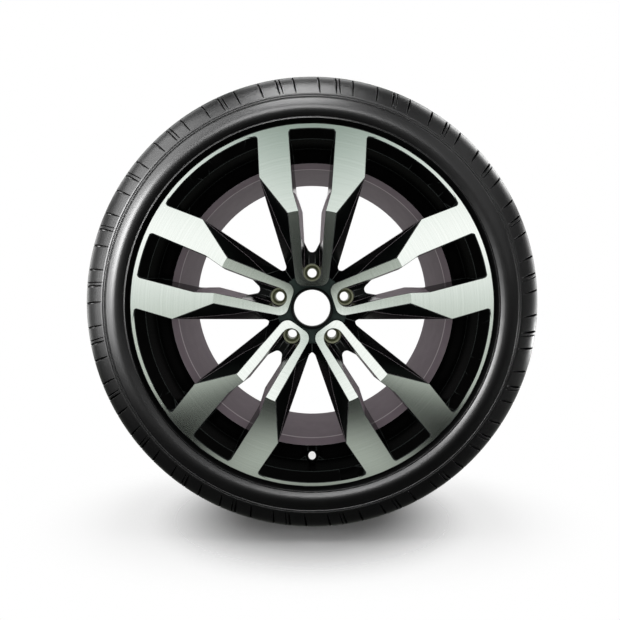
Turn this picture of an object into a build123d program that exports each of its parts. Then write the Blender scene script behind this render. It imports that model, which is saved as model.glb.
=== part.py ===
from build123d import *
import math
import os

# Wheel and tyre assembly, in millimetres.
# The wheel axis is Y and the face looks towards -Y, with Z up.
# The origin is the centre of the hub bore on the mounting face.
# A depth is measured behind the outer lip, so a negative depth stands in front of it.

# Rim
RIM_WIDTH = 203.2
RIM_SEAT_R = 253.9
FLANGE_HEIGHT = 17.5
FLANGE_WIDTH = 13.0
FLANGE_INNER_BEVEL = 9.0
FLANGE_OUTER_BEVEL = 2.4
WHEEL_OFFSET = 41.0
SEAT_LENGTH = 20.0
SEAT_TAPER = 5.0
LIP_LAND = 8.4
LIP_WALL = 14.0
SHELF_DEPTH = 5.0
BARREL_WALL = 6.0
LAND_ROUND = 4.0
WELL_DROP = 24.9
WELL_WALL = 5.0
WELL_FRONT = 47.0
WELL_LENGTH = 29.0
WELL_RAMP = 14.0
REAR_WALL = 7.7

# Turned face: two cones that meet in a ridge
RIDGE_R = 141.0
RIDGE_DEPTH = -22.0
LIP_FACE = -0.41
BOWL_SLOPE = 22.7

# Plan of one pair of spokes: across and along the middle line of the pair
SPOKE_PAIRS = 5
ARM_KINK = (75.3, 188.6)
ARM_TIP = (79.0, 248.9)
ARM_BREAK = (33.85, 135.8)
BAND_END = (25.7, 45.1)
BAND_BOTTOM = 34.5
BAND_ROUND = 13.0
SLOT_TIP = (35.4, 257.4)
SLOT_KINK = (27.6, 168.4)
SLOT_BREAK = (18.9, 139.5)
SLOT_BACK_BREAK = (14.0, 148.0)
SLOT_BACK_DEPTH = 43.0
SLOT_FOOT = (17.2, 103.0)
SLOT_END = 69.5
SLOT_ROUND = 12.0
SLOT_DRAFT = 4.0
CHANNEL_TOP = 122.0
WINDOW_POINT = 63.0
WINDOW_ROUND = 6.0
UPPER_FLANK_SLOPE = 47.0
LOWER_FLANK_SLOPE = 65.0
FLANK_HUB_DEPTH = 45.0
SPOKE_BACK_RAKE = 14.0
SPOKE_RIB = 9.0
SPOKE_SKIN_DEPTH = 4.0

# Hub
HUB_PAD_R = 77.0
HUB_PAD_STEP = 12.0
HUB_NECK_R = 108.0
HUB_BORE_R = 33.25
CAP_SEAT_R = 28.5
CAP_SEAT_DEPTH = 29.0
CAP_SEAT_THICKNESS = 6.0
CAP_RECESS_R = 33.0
STAR_DROP = 3.0
STAR_R = 54.0
BOLT_CIRCLE_R = 56.0
BOLT_HOLE_R = 7.6
BOLT_SEAT_R = 12.6
BOLT_SEAT_DEPTH = 50.0
BOLT_SEAT_SLOPE = 55.0
BOLT_POCKET_R = 14.3
CHANNEL_FLOOR = 42.0
HUB_POCKET_R = 12.0
HUB_POCKET_DEPTH = 14.0

# Valve, along an axis that leans in towards the middle of the wheel
VALVE_LEAN = 28.0
VALVE_DROP = 5.15
VALVE_HOLE_R = 5.75
VALVE_WALL = 4.0
VALVE_SPOT_R = 10.5
VALVE_SPOT_LENGTH = 12.0
STEM_HEAD_R = 9.5
STEM_HEAD_LENGTH = 7.0
STEM_COLLAR_R = 7.4
STEM_COLLAR_LENGTH = 3.0
STEM_NECK_R = 5.2
STEM_THREAD_R = 3.85
STEM_RUBBER_LENGTH = 13.0
STEM_LENGTH = 23.0
STEM_BORE_R = 2.6
CORE_LENGTH = 14.0
CORE_BORE_R = 1.0
PIN_R = 0.7
PIN_SHORT = 0.6
PIN_DISC_R = 2.2
PIN_DISC = 1.2
CAP_R = 5.8
CAP_TOP = 2.2
CAP_CLEARANCE = 0.3

# Tyre: points of the wall as height above the bead seat, and depth
SECTION_HEIGHT = 98.1
CROWN_DROP = 8.2
SHOULDER_DEPTH = 16.5
SHOULDER_BEND = (85.1, 8.4)
SHOULDER_WAIST = (74.6, -0.3)
SIDEWALL_LINE = (50.6, -7.4)
SIDEWALL_BULGE = (35.1, -9.1)
GUARD_EDGE = (21.5, -4.1)
GUARD_ROOT = (18.9, 6.5)
TREAD_GAUGE = 15.0
SIDEWALL_GAUGE = 10.5
GROOVE_DEPTH = 7.0
GROOVE_WIDTH = 9.0
GROOVE_DRAFT = 1.0
GROOVE_PLACES = (60.0, 20.0)

LIP_Y = WHEEL_OFFSET - RIM_WIDTH / 2 - FLANGE_WIDTH
RIM_DEPTH = RIM_WIDTH + 2 * FLANGE_WIDTH
PAD_DEPTH = -LIP_Y
FLANGE_R = RIM_SEAT_R + FLANGE_HEIGHT
LAND_R = FLANGE_R - LIP_LAND
SHELF_R = LAND_R - LIP_WALL
WELL_R = RIM_SEAT_R - WELL_DROP
REAR_FLARE_R = RIM_SEAT_R - REAR_WALL
TYRE_R = RIM_SEAT_R + SECTION_HEIGHT
FACE_RISE = (LIP_FACE - RIDGE_DEPTH) / (FLANGE_R - RIDGE_R)
PITCH = 360.0 / SPOKE_PAIRS
SEAT_END_R = RIM_SEAT_R - SEAT_LENGTH * math.tan(math.radians(SEAT_TAPER))
RAMP_TOP_R = SEAT_END_R - BARREL_WALL
VALVE_R = RAMP_TOP_R - VALVE_DROP
SPOKE_BACK = WELL_FRONT - WELL_RAMP
HUB_CORE_R = CAP_SEAT_R / 2
SEAT_END = FLANGE_WIDTH + SEAT_LENGTH
REACH = 2 * FLANGE_R
CLEAR = RIM_DEPTH
OVERRUN = 2

RAMP_SHARE = (RAMP_TOP_R - VALVE_R) / (RAMP_TOP_R - WELL_R)
VALVE_SEAT = Vector(0, LIP_Y + SPOKE_BACK + RAMP_SHARE * WELL_RAMP, -VALVE_R)
VALVE_OUT = Vector(0, -math.cos(math.radians(VALVE_LEAN)), math.sin(math.radians(VALVE_LEAN)))
VALVE_PLACE = Plane(VALVE_SEAT + VALVE_OUT * -VALVE_WALL / 2, x_dir=(1, 0, 0), z_dir=VALVE_OUT)


def face_depth(radius):
    """Depth of the turned face at a radius."""
    if radius > RIDGE_R:
        return RIDGE_DEPTH + (radius - RIDGE_R) * FACE_RISE
    return RIDGE_DEPTH + (RIDGE_R - radius) * math.tan(math.radians(BOWL_SLOPE))


def spun(point, degrees):
    """A plan point turned about the wheel axis."""
    angle = math.radians(degrees)
    across, along = point
    return (
        across * math.cos(angle) - along * math.sin(angle),
        across * math.sin(angle) + along * math.cos(angle),
    )


def facing(point):
    """A point of a right-hand arm, seen from the middle line of the window beside it."""
    across, along = spun(point, PITCH / 2)
    return (-across, along)


def turned(corners):
    """Body of revolution about the wheel axis, from (radius, depth) corners."""
    face = make_face(Polyline([(radius, LIP_Y + depth) for radius, depth in corners], close=True))
    return revolve(face, Axis.Y, 360)


def spindle(corners):
    """Body of revolution about the valve axis, from (radius, height above the hole) corners."""
    face = Plane.XZ * make_face(Polyline(corners, close=True))
    return VALVE_PLACE * revolve(face, Axis.Z, 360)


def plan(depth):
    """Plane across the wheel at a depth, seen from the front."""
    return Plane.XZ.offset(-(LIP_Y + depth))


def outline(points, rounded=()):
    """Plan face from its right half, mirrored about the middle line, with rounded corners."""
    left = [(-x, z) for x, z in reversed(points) if x > 0]
    face = make_face(Polyline(points + left, close=True))
    for point, rounding in rounded:
        for corner in {point, (-point[0], point[1])}:
            vertex = face.vertices().sort_by_distance((corner[0], corner[1], 0))[0]
            face = fillet(vertex, rounding)
    return face


def through(face, front=-CLEAR, back=CLEAR):
    """A plan face carried straight along the wheel axis between two depths."""
    return extrude(plan(back) * face, back - front)


def around(shape, start=0.0):
    """Copies of a shape, one for each pair of spokes."""
    return [shape.rotate(Axis.Y, start + PITCH * n) for n in range(SPOKE_PAIRS)]


def face_point(point):
    """The point on the turned face above a plan point."""
    return Vector(point[0], LIP_Y + face_depth(math.hypot(*point)), point[1])


def rim_side():
    """Front half of the rim section on the tyre side: flange and bead seat."""
    return [
        (FLANGE_R, FLANGE_WIDTH - FLANGE_INNER_BEVEL),
        (FLANGE_R - FLANGE_INNER_BEVEL, FLANGE_WIDTH),
        (RIM_SEAT_R, FLANGE_WIDTH),
        (SEAT_END_R, SEAT_END),
    ]


def wheel_blank():
    """The turned blank: rim barrel, lip, face and hub in one section."""
    lip_r = FLANGE_R - FLANGE_OUTER_BEVEL
    lip_depth = face_depth(FLANGE_R) + FLANGE_OUTER_BEVEL
    well_rear = WELL_FRONT + WELL_LENGTH
    front = rim_side()
    rear = [(radius, RIM_DEPTH - depth) for radius, depth in reversed(front)]
    return turned(
        [(HUB_CORE_R, face_depth(HUB_CORE_R)), (RIDGE_R, RIDGE_DEPTH)]
        + [(lip_r, face_depth(lip_r)), (FLANGE_R, lip_depth)]
        + front
        + [(SEAT_END_R, SPOKE_BACK + WELL_WALL)]
        + [(WELL_R + WELL_WALL, WELL_FRONT + WELL_WALL), (WELL_R + WELL_WALL, well_rear + WELL_WALL)]
        + rear
        + [(FLANGE_R, RIM_DEPTH), (REAR_FLARE_R, RIM_DEPTH), (WELL_R, well_rear), (WELL_R, WELL_FRONT)]
        + [(RAMP_TOP_R, SPOKE_BACK), (HUB_NECK_R, SPOKE_BACK + SPOKE_BACK_RAKE)]
        + [(HUB_PAD_R, PAD_DEPTH - HUB_PAD_STEP), (HUB_PAD_R, PAD_DEPTH), (HUB_CORE_R, PAD_DEPTH)]
    )


def inside_rim():
    """The space in front of and behind the spokes, inside the lip and the barrel."""
    far_r = 2 * LAND_R - SHELF_R
    far_depth = 2 * face_depth(LAND_R) - SHELF_DEPTH
    return turned(
        [
            (HUB_CORE_R, -CLEAR),
            (far_r, -CLEAR),
            (far_r, far_depth),
            (SHELF_R, SHELF_DEPTH),
            (RAMP_TOP_R, SPOKE_BACK),
            (HUB_CORE_R, CLEAR),
        ]
    )


def landed(face):
    """A plan face that ends at the lip, with rounded corners."""
    return offset(offset(face & Circle(LAND_R), -LAND_ROUND), LAND_ROUND)


def big_window():
    """The opening between two pairs, standing along its own middle line."""
    kink = facing(ARM_KINK)
    tip = facing(ARM_TIP)
    beyond = (2 * tip[0] - kink[0], 2 * tip[1] - kink[1])
    point = (0.0, WINDOW_POINT)
    return through(landed(outline([point, kink, beyond], [(point, WINDOW_ROUND)])))


def slot():
    """The drafted opening between the two arms of a pair: a neck, and a wide part with leaning walls."""
    end = (0.0, SLOT_END)
    top = (2 * SLOT_BREAK[0] - SLOT_FOOT[0], 2 * SLOT_BREAK[1] - SLOT_FOOT[1])
    neck = drafted(outline([end, SLOT_FOOT, top], [(end, SLOT_ROUND)]), CLEAR / 2)
    beyond = (SLOT_TIP[0], SLOT_TIP[1] + FLANGE_R)
    share = (SLOT_BREAK[1] - SLOT_FOOT[1]) / (SLOT_KINK[1] - SLOT_BREAK[1])
    low = (SLOT_BREAK[0] - (SLOT_KINK[0] - SLOT_BREAK[0]) * share, SLOT_FOOT[1])
    wide = landed(outline([low, SLOT_KINK, SLOT_TIP, beyond]))
    side = leaning_wall()
    return drafted(wide, CLEAR / 2) - side - mirror(side, Plane.YZ) + neck


def leaning_wall():
    """Everything outside the leaning wall of a slot, on the right-hand side."""
    front, kink = face_point(SLOT_BREAK), face_point(SLOT_KINK)
    back = Vector(SLOT_BACK_BREAK[0], LIP_Y + SLOT_BACK_DEPTH, SLOT_BACK_BREAK[1])
    wall = Plane(front, x_dir=kink - front, z_dir=(back - front).cross(kink - front))
    return wall * Box(REACH, REACH, REACH, align=(Align.CENTER, Align.CENTER, Align.MIN))


def drafted(face, back):
    """A plan face carried from in front of the ridge to a depth, narrowing behind the ridge."""
    foot = plan(RIDGE_DEPTH) * face
    return extrude(foot, RIDGE_DEPTH - back, taper=SLOT_DRAFT) + extrude(foot, CLEAR)


def flank():
    """What is cut from the window side of a right-hand arm, beside its turned face."""
    kink, ridge, band = face_point(ARM_KINK), face_point(ARM_BREAK), face_point(BAND_END)
    hub = spun((0.0, WINDOW_POINT), -PITCH / 2)
    foot = Vector(hub[0], LIP_Y + FLANK_HUB_DEPTH, hub[1])
    upper = wedge(ridge, kink, UPPER_FLANK_SLOPE) & wedge(band, ridge, UPPER_FLANK_SLOPE)
    lower = bevel(foot, kink, LOWER_FLANK_SLOPE)
    side = spun((0.0, REACH), -PITCH / 2)
    sector = make_face(Polyline([(0, 0), side, (0, REACH)], close=True))
    zone = through((sector & Circle(LAND_R)) - Circle(STAR_R))
    return ((upper + lower) & zone) - band_prism()


def side_step(start, end):
    """The run of an edge, and the unit step outwards from it across the wheel."""
    run = end - start
    out = Vector(run.Z, 0, -run.X).normalized()
    return run, out


def wedge(start, end, slope):
    """Everything in front of a plane that falls away outwards from an edge."""
    run, out = side_step(start, end)
    first = start - run * OVERRUN
    reach = out * REACH
    front = Vector(0, -REACH, 0)
    fall = Vector(0, REACH * math.tan(math.radians(slope)), 0)
    profile = Polyline([first, first + front, first + reach + front, first + reach + fall], close=True)
    return extrude(make_face(profile), dir=run.normalized(), amount=run.length * (1 + 2 * OVERRUN))


def bevel(start, end, slope):
    """Everything in front of a plane that climbs inwards from an edge."""
    run, out = side_step(start, end)
    first = start - run * OVERRUN
    climb = math.tan(math.radians(slope))
    inner = first - out * SPOKE_BACK + Vector(0, -SPOKE_BACK * climb, 0)
    outer = first + out * SPOKE_RIB + Vector(0, SPOKE_RIB * climb, 0)
    corner = Vector(outer.X, inner.Y, outer.Z)
    profile = Polyline([inner, outer, corner], close=True)
    return extrude(make_face(profile), dir=run.normalized(), amount=run.length * (1 + 2 * OVERRUN))


def band_prism():
    """Plan of the U-shaped turned band round a bolt, carried along the axis."""
    lean = (ARM_BREAK[0] - BAND_END[0]) / (ARM_BREAK[1] - BAND_END[1])
    corner = (BAND_END[0] - (BAND_END[1] - BAND_BOTTOM) * lean, BAND_BOTTOM)
    return through(outline([corner, ARM_BREAK], [(corner, BAND_ROUND)]))


def star():
    """The shallow recess between the bands, round the hub bore."""
    zone = turned(
        [
            (HUB_CORE_R, RIDGE_DEPTH),
            (STAR_R, RIDGE_DEPTH),
            (STAR_R, face_depth(STAR_R) + STAR_DROP),
            (HUB_CORE_R, face_depth(HUB_CORE_R) + STAR_DROP),
        ]
    )
    return zone - around(band_prism())


def bolt_channel():
    """The pocket between the arms that leads down to a bolt."""
    half = SLOT_FOOT[0]
    middle = (CHANNEL_TOP + BOLT_CIRCLE_R) / 2
    straight = Pos(0, middle) * Rectangle(2 * half, CHANNEL_TOP - BOLT_CIRCLE_R)
    face = straight + Pos(0, BOLT_CIRCLE_R) * Circle(half)
    return drafted(face, CHANNEL_FLOOR)


def bolt_hole():
    """Wrench pocket, tapered seat and through hole of one bolt."""
    seat_end = BOLT_SEAT_DEPTH + (BOLT_SEAT_R - BOLT_HOLE_R) * math.tan(math.radians(BOLT_SEAT_SLOPE))
    hole = turned(
        [
            (0, -CLEAR),
            (BOLT_POCKET_R, -CLEAR),
            (BOLT_POCKET_R, BOLT_SEAT_DEPTH),
            (BOLT_SEAT_R, BOLT_SEAT_DEPTH),
            (BOLT_HOLE_R, seat_end),
            (BOLT_HOLE_R, CLEAR),
            (0, CLEAR),
        ]
    )
    return Pos(0, 0, BOLT_CIRCLE_R) * hole


def hub_bore():
    """Bore for the hub spigot, the seat of the cap and the recess in front of it."""
    seat_back = CAP_SEAT_DEPTH + CAP_SEAT_THICKNESS
    return turned(
        [
            (0, -CLEAR),
            (CAP_RECESS_R, -CLEAR),
            (CAP_RECESS_R, CAP_SEAT_DEPTH),
            (CAP_SEAT_R, CAP_SEAT_DEPTH),
            (CAP_SEAT_R, seat_back),
            (HUB_BORE_R, seat_back),
            (HUB_BORE_R, CLEAR),
            (0, CLEAR),
        ]
    )


def hub_pocket():
    """Lightening pocket in the mounting face between two bolts."""
    face = Pos(0, BOLT_CIRCLE_R) * Circle(HUB_POCKET_R)
    return through(face, front=PAD_DEPTH - HUB_POCKET_DEPTH)


def arm_pocket():
    """Hollow in the back of a right-hand arm, under its turned face."""
    arm = make_face(
        Polyline(
            [SLOT_BREAK, ARM_BREAK, ARM_KINK, (ARM_TIP[0], WELL_R), (SLOT_TIP[0], WELL_R), SLOT_KINK],
            close=True,
        )
    )
    hollow = through(offset(arm, -SPOKE_RIB, kind=Kind.INTERSECTION), front=SPOKE_SKIN_DEPTH)
    return hollow & Rot(X=90) * Cylinder(WELL_R - WELL_WALL, REACH)


def valve_hole():
    """Valve hole with a flat spot on each side of the rim wall."""
    front = [
        (0, VALVE_SPOT_LENGTH),
        (VALVE_SPOT_R, VALVE_SPOT_LENGTH),
        (VALVE_SPOT_R, 0),
        (VALVE_HOLE_R, 0),
    ]
    return spindle(front + [(radius, -VALVE_WALL - height) for radius, height in reversed(front)])


def alloy_wheel():
    """The cast and turned wheel, in one piece."""
    space = inside_rim()
    window = big_window() & space
    gap = slot() & space
    wheel = wheel_blank() - around(window, PITCH / 2) - around(gap)
    right = flank() & space
    left = mirror(right, Plane.YZ)
    wheel = wheel - around(right) - around(left) - star()
    pocket = arm_pocket()
    wheel = wheel - around(pocket) - around(mirror(pocket, Plane.YZ))
    wheel = wheel - hub_bore() - around(bolt_channel()) - around(bolt_hole())
    return wheel - around(hub_pocket(), PITCH / 2) - valve_hole()


def crown_r(depth):
    """Radius of the tread surface at a depth."""
    middle = RIM_DEPTH / 2
    return TYRE_R - CROWN_DROP * ((middle - depth) / (middle - SHOULDER_DEPTH)) ** 2


def tread_groove(place):
    """Section of one groove, at a distance in front of the middle of the tread."""
    front = RIM_DEPTH / 2 - place - GROOVE_WIDTH / 2
    back = front + GROOVE_WIDTH
    floor_r = crown_r(front) - GROOVE_DEPTH
    return [
        (crown_r(front), front),
        (floor_r, front + GROOVE_DRAFT),
        (floor_r, back - GROOVE_DRAFT),
        (crown_r(back), back),
    ]


def tyre():
    """The tyre: beads, rim guards, sidewalls, shoulders and grooved tread in one moulding."""
    bead = [
        (SEAT_END_R, SEAT_END),
        (RIM_SEAT_R, FLANGE_WIDTH),
        (FLANGE_R - FLANGE_INNER_BEVEL, FLANGE_WIDTH),
    ]
    heights = [GUARD_ROOT, GUARD_EDGE, SIDEWALL_BULGE, SIDEWALL_LINE, SHOULDER_WAIST, SHOULDER_BEND]
    wall = [(RIM_SEAT_R + height, depth) for height, depth in heights]
    tread = [(crown_r(SHOULDER_DEPTH), SHOULDER_DEPTH)]
    for place in GROOVE_PLACES:
        tread += tread_groove(place)
    liner_r = crown_r(SHOULDER_DEPTH) - TREAD_GAUGE
    liner = [
        (RIM_SEAT_R + SIDEWALL_LINE[0], SIDEWALL_LINE[1] + SIDEWALL_GAUGE),
        (liner_r, SHOULDER_DEPTH + TREAD_GAUGE),
    ]
    front = bead + wall + tread
    rear = [(radius, RIM_DEPTH - depth) for radius, depth in reversed(front)]
    inside = [(radius, RIM_DEPTH - depth) for radius, depth in liner]
    return turned(front + rear + inside + list(reversed(liner)))


def valve_stem():
    """Snap-in valve: rubber body bonded to a threaded stem, open along its length."""
    return spindle(
        [
            (STEM_BORE_R, -VALVE_WALL - STEM_HEAD_LENGTH),
            (STEM_HEAD_R, -VALVE_WALL - STEM_HEAD_LENGTH),
            (STEM_HEAD_R, -VALVE_WALL),
            (VALVE_HOLE_R, -VALVE_WALL),
            (VALVE_HOLE_R, 0),
            (STEM_COLLAR_R, 0),
            (STEM_COLLAR_R, STEM_COLLAR_LENGTH),
            (STEM_NECK_R, STEM_COLLAR_LENGTH),
            (STEM_NECK_R, STEM_RUBBER_LENGTH),
            (STEM_THREAD_R, STEM_RUBBER_LENGTH),
            (STEM_THREAD_R, STEM_LENGTH),
            (STEM_BORE_R, STEM_LENGTH),
        ]
    )


def valve_core():
    """Brass plug that is screwed into the stem, with a hole for its pin."""
    top = STEM_LENGTH - PIN_SHORT
    foot = top - CORE_LENGTH
    return spindle([(CORE_BORE_R, foot), (STEM_BORE_R, foot), (STEM_BORE_R, top), (CORE_BORE_R, top)])


def valve_pin():
    """Sprung pin of the core, with the disc that seals the core from below."""
    seat = STEM_LENGTH - PIN_SHORT - CORE_LENGTH
    foot = seat - PIN_DISC
    return spindle(
        [
            (0, foot),
            (PIN_DISC_R, foot),
            (PIN_DISC_R, seat),
            (PIN_R, seat),
            (PIN_R, STEM_LENGTH),
            (0, STEM_LENGTH),
        ]
    )


def valve_cap():
    """Screw cap over the end of the stem, down on the rubber."""
    inside_r = STEM_THREAD_R + CAP_CLEARANCE
    inside_top = STEM_LENGTH + CAP_CLEARANCE
    top = inside_top + CAP_TOP
    return spindle(
        [
            (inside_r, STEM_RUBBER_LENGTH),
            (CAP_R, STEM_RUBBER_LENGTH),
            (CAP_R, top),
            (0, top),
            (0, inside_top),
            (inside_r, inside_top),
        ]
    )


PIECES = {
    "alloy_wheel": alloy_wheel,
    "tyre": tyre,
    "valve_stem": valve_stem,
    "valve_core": valve_core,
    "valve_pin": valve_pin,
    "valve_cap": valve_cap,
}

os.makedirs("parts", exist_ok=True)
for node, make in PIECES.items():
    export_step(make(), f"parts/{node}.step")
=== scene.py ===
"""Looks for the wheel and tyre assembly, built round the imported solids.

The solids carry the form. This script splits the wheel's surface into its finishes, gives the
tyre its shoulder slits and mould lines, and sets the studio and the camera of the photograph.
"""

import logging
import math
from abc import ABC, abstractmethod
from dataclasses import dataclass
from enum import Enum

import bmesh
import bpy
from bpy.types import Material, Mesh, Node, NodeTree, Object
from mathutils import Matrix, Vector

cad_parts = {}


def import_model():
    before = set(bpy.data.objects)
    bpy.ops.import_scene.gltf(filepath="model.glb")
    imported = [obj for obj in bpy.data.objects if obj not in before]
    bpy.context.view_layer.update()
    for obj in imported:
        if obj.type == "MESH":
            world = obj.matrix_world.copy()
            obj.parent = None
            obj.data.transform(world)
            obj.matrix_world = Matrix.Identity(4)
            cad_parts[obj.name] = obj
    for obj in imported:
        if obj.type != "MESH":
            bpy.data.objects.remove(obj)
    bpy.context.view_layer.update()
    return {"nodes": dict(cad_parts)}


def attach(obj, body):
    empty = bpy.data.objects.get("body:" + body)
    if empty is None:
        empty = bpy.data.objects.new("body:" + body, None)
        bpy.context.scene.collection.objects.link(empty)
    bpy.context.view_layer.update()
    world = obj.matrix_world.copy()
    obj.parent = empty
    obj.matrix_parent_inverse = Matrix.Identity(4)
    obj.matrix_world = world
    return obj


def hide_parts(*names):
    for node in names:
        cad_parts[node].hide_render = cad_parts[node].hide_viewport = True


LOG = logging.getLogger("wheel_scene")
MM = 0.001
LIP_Y = -73.6
NO_COLOUR = (0.0, 0.0, 0.0, 1.0)
WHITE = (1.0, 1.0, 1.0, 1.0)
NOISE_ENDS = (0.3, 0.7)
BEVEL_SAMPLES = 6
# Numbers of the Mix node's sockets for colours.
MIX_UNDER, MIX_OVER, MIX_RESULT = 6, 7, 2

Colour = tuple[float, float, float]
Corner = tuple[float, float]
Span = tuple[float, float]
# Features of a noise to the metre, and octaves of finer ones.
Noise = tuple[float, float]
Column = tuple[float, float, float]
Socket = bpy.types.NodeSocket
Sockets = bpy.types.bpy_prop_collection
Feed = Socket | float | tuple[float, ...]
Inputs = dict[str | int, Feed]


class Coat(Enum):
    """Finishes of the wheel's surface, with the material slot that each takes."""

    TURNED = 0
    BLACK = 1
    GREY = 2
    HUB = 3
    SEAT = 4
    RIM = 5


def put(name: str, data: bpy.types.ID) -> Object:
    """Put a new object into the scene.

    Args:
        name: Name of the object.
        data: Its mesh, light or camera.

    Returns:
        The object.
    """
    made = bpy.data.objects.new(name, data)
    bpy.context.scene.collection.objects.link(made)
    return made


@dataclass
class Net:
    """A node tree while it is put together."""

    tree: NodeTree

    def node(self, kind: str, inputs: Inputs | None = None, **settings: str | int) -> Node:
        """Add a node.

        Args:
            kind: Blender's name of the node type.
            inputs: What its input sockets get, by name or number.
            settings: Values for its own properties.

        Returns:
            The new node.
        """
        made = self.tree.nodes.new(kind)
        for key, value in settings.items():
            setattr(made, key, value)
        for key, value in (inputs or {}).items():
            self.feed(made.inputs[key], value)
        return made

    def feed(self, socket: Socket, value: Feed) -> None:
        """Link an input socket, or set a constant on it.

        Args:
            socket: The input socket.
            value: An output socket, or the constant.
        """
        if isinstance(value, Socket):
            self.tree.links.new(value, socket)
        else:
            socket.default_value = value

    def out(self, kind: str, inputs: Inputs | None = None, **settings: str | int) -> Socket:
        """Add a node and hand over its first output."""
        return self.node(kind, inputs, **settings).outputs[0]

    def number(self, operation: str, *values: Feed) -> Socket:
        """Reckon with numbers, in the order of the node's inputs."""
        return self.out("ShaderNodeMath", dict(enumerate(values)), operation=operation)

    def vector(self, operation: str, *values: Feed) -> Sockets:
        """Reckon with vectors, to the node's outputs Vector and Value."""
        inputs = dict(enumerate(values))
        return self.node("ShaderNodeVectorMath", inputs, operation=operation).outputs

    def remap(
        self, value: Socket, source: Span, target: Span = (0.0, 1.0), way: str = "LINEAR"
    ) -> Socket:
        """Carry a range of values over to another, and hold it beyond the ends.

        Args:
            value: The value.
            source: The ends that it runs between.
            target: What these ends become.
            way: Blender's name of the way between them.

        Returns:
            The new value.
        """
        ends = dict(zip(("From Min", "From Max", "To Min", "To Max"), (*source, *target)))
        return self.out("ShaderNodeMapRange", {"Value": value, **ends}, interpolation_type=way)


@dataclass
class Sheet(Net):
    """A node material while it is put together."""

    material: Material

    @classmethod
    def start(cls, name: str) -> "Sheet":
        """Begin a material.

        Args:
            name: Name of the material.

        Returns:
            The sheet that holds it.
        """
        material = bpy.data.materials.new(name)
        material.use_nodes = True
        return cls(material.node_tree, material)

    def place(self) -> Socket:
        """Object coordinates, which are the part's own frame."""
        return self.node("ShaderNodeTexCoord").outputs["Object"]

    def normal(self) -> Socket:
        """The normal of the surface as it is shaded."""
        return self.node("ShaderNodeNewGeometry").outputs["Normal"]

    def axes(self, vector: Socket) -> Sockets:
        """The parts X, Y and Z of a vector."""
        return self.node("ShaderNodeSeparateXYZ", {0: vector}).outputs

    def along(self, vector: Socket) -> Socket:
        """The part of a vector that runs along the wheel axis."""
        return self.axes(vector)["Y"]

    def radius(self) -> Socket:
        """Distance from the wheel axis."""
        flat = self.vector("MULTIPLY", self.place(), (1.0, 0.0, 1.0))["Vector"]
        return self.vector("LENGTH", flat)["Value"]

    def rings(self, per_metre: float, detail: float) -> Socket:
        """Noise about 0.5 that runs in rings about the wheel axis."""
        inputs = {"W": self.radius(), "Scale": per_metre, "Detail": detail}
        return self.out("ShaderNodeTexNoise", inputs, noise_dimensions="1D")

    def grain(self, per_metre: float, detail: float) -> Socket:
        """Even noise about 0.5 over the surface."""
        inputs = {"Vector": self.place(), "Scale": per_metre, "Detail": detail}
        return self.out("ShaderNodeTexNoise", inputs)

    def spread(self, noise: Socket, ends: Span) -> Socket:
        """Carry noise over to values between two ends."""
        return self.remap(noise, NOISE_ENDS, ends)

    def blend(self, noise: Socket, low: Colour, high: Colour) -> Socket:
        """Carry noise over to a mix of two colours."""
        return self.ramp(noise, list(zip(NOISE_ENDS, (low, high))))

    def ramp(self, value: Socket, stops: list[tuple[float, Colour]]) -> Socket:
        """Colours along a value.

        Args:
            value: The value, from 0 to 1.
            stops: Places and colours, in order.

        Returns:
            The colour.
        """
        made = self.node("ShaderNodeValToRGB", {"Fac": value})
        row = made.color_ramp.elements
        for place, colour in stops:
            row.new(place).color = (*colour, 1.0)
        row.remove(row[0])
        row.remove(row[-1])
        return made.outputs["Color"]

    def over(self, share: Socket, body: Socket, colour: Colour) -> Socket:
        """Lay a colour over a body colour, as far as a share from 0 to 1 shows it."""
        inputs = {"Factor": share, MIX_UNDER: body, MIX_OVER: (*colour, 1.0)}
        return self.node("ShaderNodeMix", inputs, data_type="RGBA").outputs[MIX_RESULT]

    def bump(self, height: Socket, distance: float, under: Socket | None = None) -> Socket:
        """Relief from a height.

        Args:
            height: The relief, from 0 to 1.
            distance: Height of the relief in metres.
            under: Normal that the relief lies on.

        Returns:
            The bent normal.
        """
        inputs = {"Height": height, "Distance": distance, "Strength": 1.0}
        if under is not None:
            inputs["Normal"] = under
        return self.out("ShaderNodeBump", inputs)

    def eased(self, radius: float) -> Socket:
        """Normal that is softened across sharp edges, over a radius in metres."""
        return self.out("ShaderNodeBevel", {"Radius": radius}, samples=BEVEL_SAMPLES)

    def creased(self, eased: Socket, ends: Span) -> Socket:
        """Where the surface bends sharply, from 0 to 1, by the match of its softened normal."""
        return self.remap(self.vector("DOT_PRODUCT", eased, self.normal())["Value"], ends)

    def skirt(self, eased: Socket, fall: Span, slope: Span) -> Socket:
        """Where a slope falls away to a wall, from 0 to 1.

        Args:
            eased: The softened normal.
            fall: Ends of the change that the softening makes along the axis.
            slope: Ends of the slopes that count.

        Returns:
            The share of the falling edge.
        """
        flat = self.along(self.normal())
        change = self.number("SUBTRACT", self.along(eased), flat)
        return self.number("MULTIPLY", self.remap(change, fall), self.remap(flat, slope))

    def line(self, y: float, fade: Span) -> Socket:
        """A narrow line round the wheel, from 0 to 1, at a place along the axis, where a painted
        highlight goes.
        """
        off = self.number("SUBTRACT", self.along(self.place()), y)
        return self.remap(self.number("ABSOLUTE", off), fade)

    def dress(self, **values: Feed) -> Material:
        """Feed the main shader.

        Args:
            values: What its sockets get; spaces in their names are written as underscores.

        Returns:
            The finished material.
        """
        shader = next(n for n in self.tree.nodes if n.type == "BSDF_PRINCIPLED")
        for key, value in values.items():
            self.feed(shader.inputs[key.replace("_", " ")], value)
        return self.material


class Finish(ABC):
    """A finish that is made into a material. Lengths in metres; roughness runs between two ends."""

    @abstractmethod
    def make(self) -> Material:
        """Build the material."""


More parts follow.
